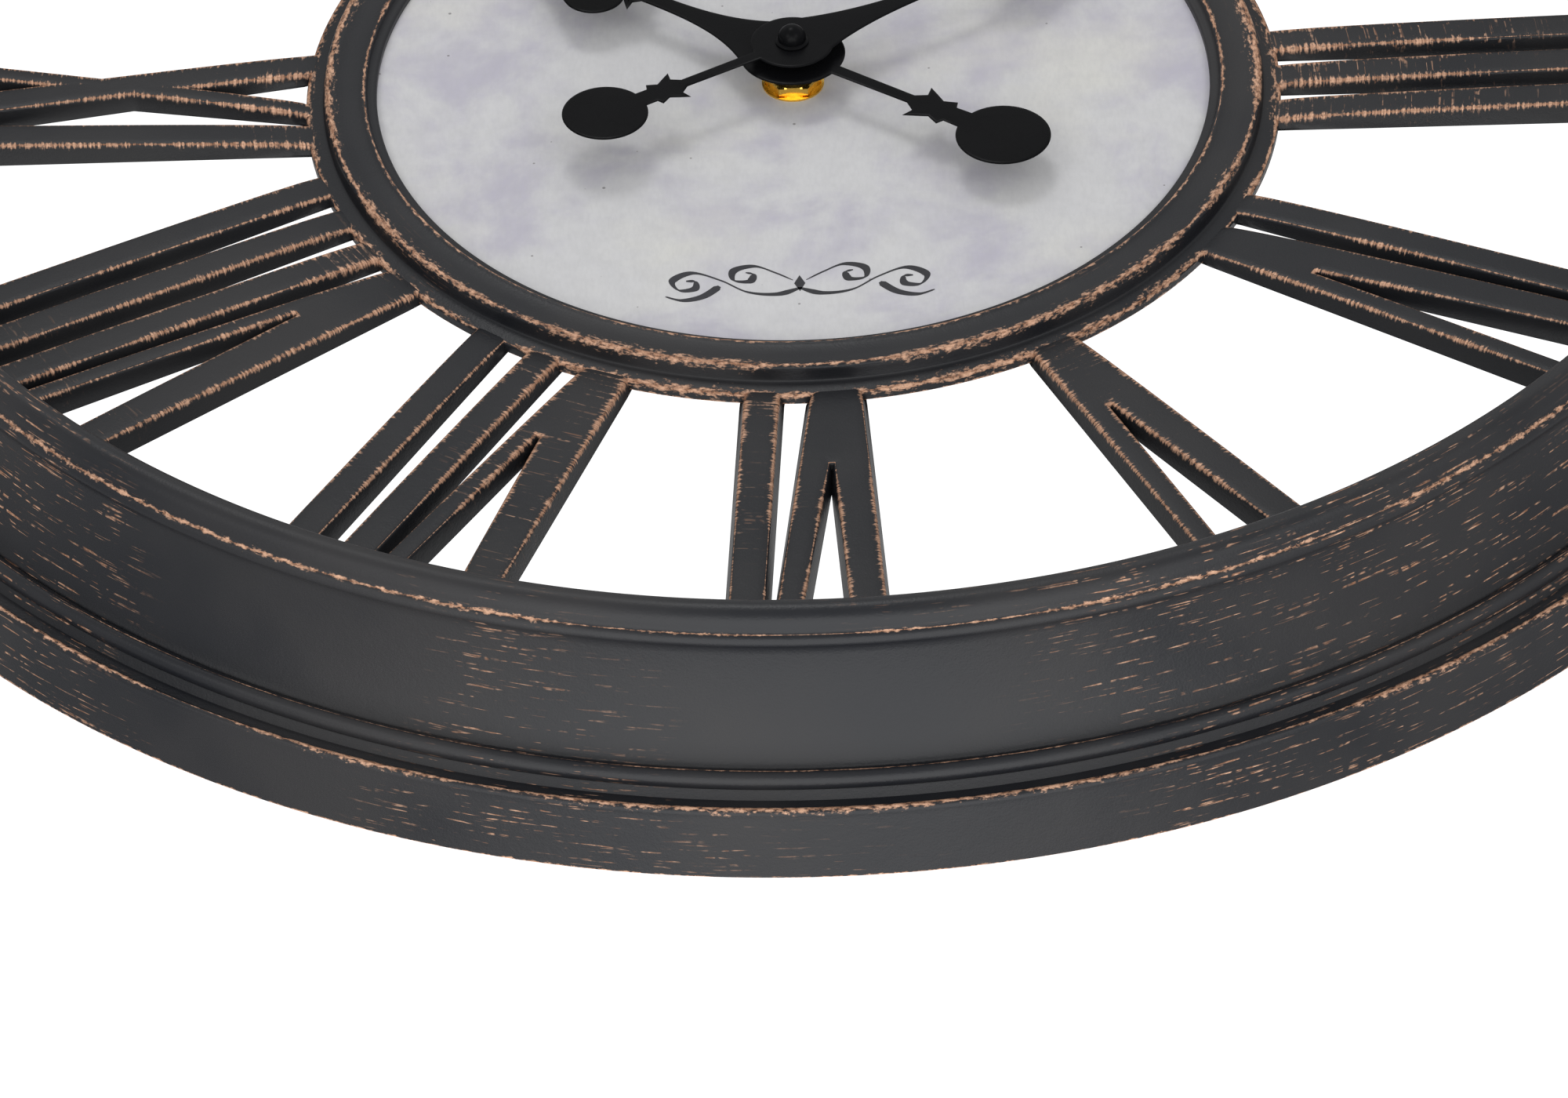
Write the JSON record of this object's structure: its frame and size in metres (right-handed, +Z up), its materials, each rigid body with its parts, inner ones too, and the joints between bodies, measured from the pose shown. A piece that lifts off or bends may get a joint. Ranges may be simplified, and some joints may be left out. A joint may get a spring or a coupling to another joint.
{
  "type": "wall clock",
  "caption": "Round skeleton wall clock: deep worn-black rim, open Roman numerals, pale dial, spade hands and a battery quartz movement.",
  "frame": {"origin": "on the hands' axis, in the plane of the wall that the rim's back edge rests on", "axes": "+Z up towards twelve o'clock, the dial faces -Y, the wall is at y = 0, +X towards three o'clock"},
  "size_m": [0.6, 0.0614, 0.6],
  "materials": {
    "worn_black": "charcoal black with copper wear along the edges",
    "hardboard": "plain pressed hardboard",
    "dial_paper": "printed pale grey stone clouds with an ink flourish",
    "zinc_steel": "zinc plated",
    "black_case": "fine grained moulded case",
    "white_plastic": "natural white moulding",
    "board_green": "solder mask",
    "copper_wire": "enamelled copper winding",
    "brass": "turned and plated",
    "battery_sleeve": "plain printed sleeve with a steel end",
    "rubber": "plain",
    "hand_black": "satin black enamel"
  },
  "bodies": {
    "case": {"outer_frame": "worn_black", "inner_ring": "worn_black", "numeral_1": "worn_black", "numeral_2": "worn_black", "numeral_3": "worn_black", "numeral_4": "worn_black", "numeral_5": "worn_black", "numeral_6": "worn_black", "numeral_7": "worn_black", "numeral_8": "worn_black", "numeral_9": "worn_black", "numeral_10": "worn_black", "numeral_11": "worn_black", "numeral_12": "worn_black", "dial_plate": "hardboard", "dial_sheet": "dial_paper", "dial_screws": "zinc_steel", "hanger_plate": "zinc_steel", "hanger_screws": "zinc_steel", "movement_case": "black_case", "movement_cover": "white_plastic", "circuit_board": "board_green", "quartz_crystal": "zinc_steel", "coil": "copper_wire", "stator": "zinc_steel", "contact_positive": "brass", "contact_negative": "brass", "battery": "battery_sleeve", "rubber_washer": "rubber", "brass_washer": "brass", "mounting_nut": "brass"},
    "minute": {"cannon_pinion": "brass", "minute_hand": "hand_black", "cap_nut": "hand_black"},
    "hour": {"hour_wheel": "white_plastic", "hour_hand": "hand_black"},
    "minute_wheel": {"minute_wheel": "white_plastic"},
    "set_knob": {"set_knob": "white_plastic"},
    "centre_wheel": {"centre_wheel": "white_plastic"},
    "third_wheel": {"third_wheel": "white_plastic"},
    "fourth_wheel": {"fourth_wheel": "white_plastic"},
    "fifth_wheel": {"fifth_wheel": "white_plastic"},
    "rotor": {"rotor": "white_plastic"}
  },
  "joints": [
    {"name": "minute_turn", "type": "hinge", "parent": "case", "child": "minute", "pos_m": [0, -0.03, 0], "axis": [0, 1, 0], "continuous": true},
    {"name": "hour_turn", "type": "hinge", "parent": "case", "child": "hour", "pos_m": [0, -0.028, 0], "axis": [0, 1, 0], "continuous": true},
    {"name": "minute_wheel_turn", "type": "hinge", "parent": "case", "child": "minute_wheel", "pos_m": [0.0125, -0.012, 0], "axis": [0, 1, 0], "continuous": true},
    {"name": "set_knob_turn", "type": "hinge", "parent": "case", "child": "set_knob", "pos_m": [0.0125, -0.006, 0.0125], "axis": [0, 1, 0], "continuous": true},
    {"name": "seconds_wheel_turn", "type": "hinge", "parent": "case", "child": "fourth_wheel", "pos_m": [-0.00082, -0.006, 0.01791], "axis": [0, 1, 0], "continuous": true},
    {"name": "third_wheel_turn", "type": "hinge", "parent": "case", "child": "third_wheel", "pos_m": [-0.00558, -0.007, 0.00966], "axis": [0, 1, 0], "continuous": true},
    {"name": "centre_wheel_turn", "type": "hinge", "parent": "case", "child": "centre_wheel", "pos_m": [0, -0.01, 0], "axis": [0, 1, 0], "continuous": true},
    {"name": "fifth_wheel_turn", "type": "hinge", "parent": "case", "child": "fifth_wheel", "pos_m": [-0.00904, -0.008, 0.0209], "axis": [0, 1, 0], "continuous": true},
    {"name": "rotor_turn", "type": "hinge", "parent": "case", "child": "rotor", "pos_m": [-0.01355, -0.008, 0.01926], "axis": [0, 1, 0], "continuous": true}
  ],
  "couplings": [
    {"joint": "hour_turn", "follows": "minute_turn", "ratio": 0.083333},
    {"joint": "minute_wheel_turn", "follows": "minute_turn", "ratio": -0.33333},
    {"joint": "set_knob_turn", "follows": "minute_turn", "ratio": 1},
    {"joint": "third_wheel_turn", "follows": "seconds_wheel_turn", "ratio": -0.13333},
    {"joint": "centre_wheel_turn", "follows": "seconds_wheel_turn", "ratio": 0.016667},
    {"joint": "fifth_wheel_turn", "follows": "seconds_wheel_turn", "ratio": -6},
    {"joint": "rotor_turn", "follows": "seconds_wheel_turn", "ratio": 30}
  ]
}
